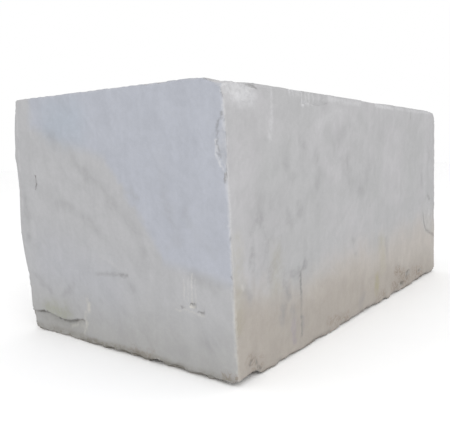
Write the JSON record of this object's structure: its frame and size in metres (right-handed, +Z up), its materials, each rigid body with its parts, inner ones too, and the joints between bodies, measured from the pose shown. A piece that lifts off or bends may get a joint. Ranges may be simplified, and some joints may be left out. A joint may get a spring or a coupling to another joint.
{
  "type": "quarried marble block",
  "caption": "Large sawn block of pale grey-white marble from a quarry, with chipped arrises, broken corners, a fractured ledge and an earth-stained foot.",
  "frame": {"origin": "on the surface that the block stands on, under the middle of its bounding box", "axes": "+X along the block's length, +Y through its width away from the stained front face, +Z up"},
  "size_m": [3.4154, 1.9138, 1.6357],
  "materials": {
    "marble": "sawn and weathered, dull, with fresh broken edges and earth stains near the bed"
  },
  "bodies": {
    "root": {"marble_block": "marble"}
  },
  "joints": []
}
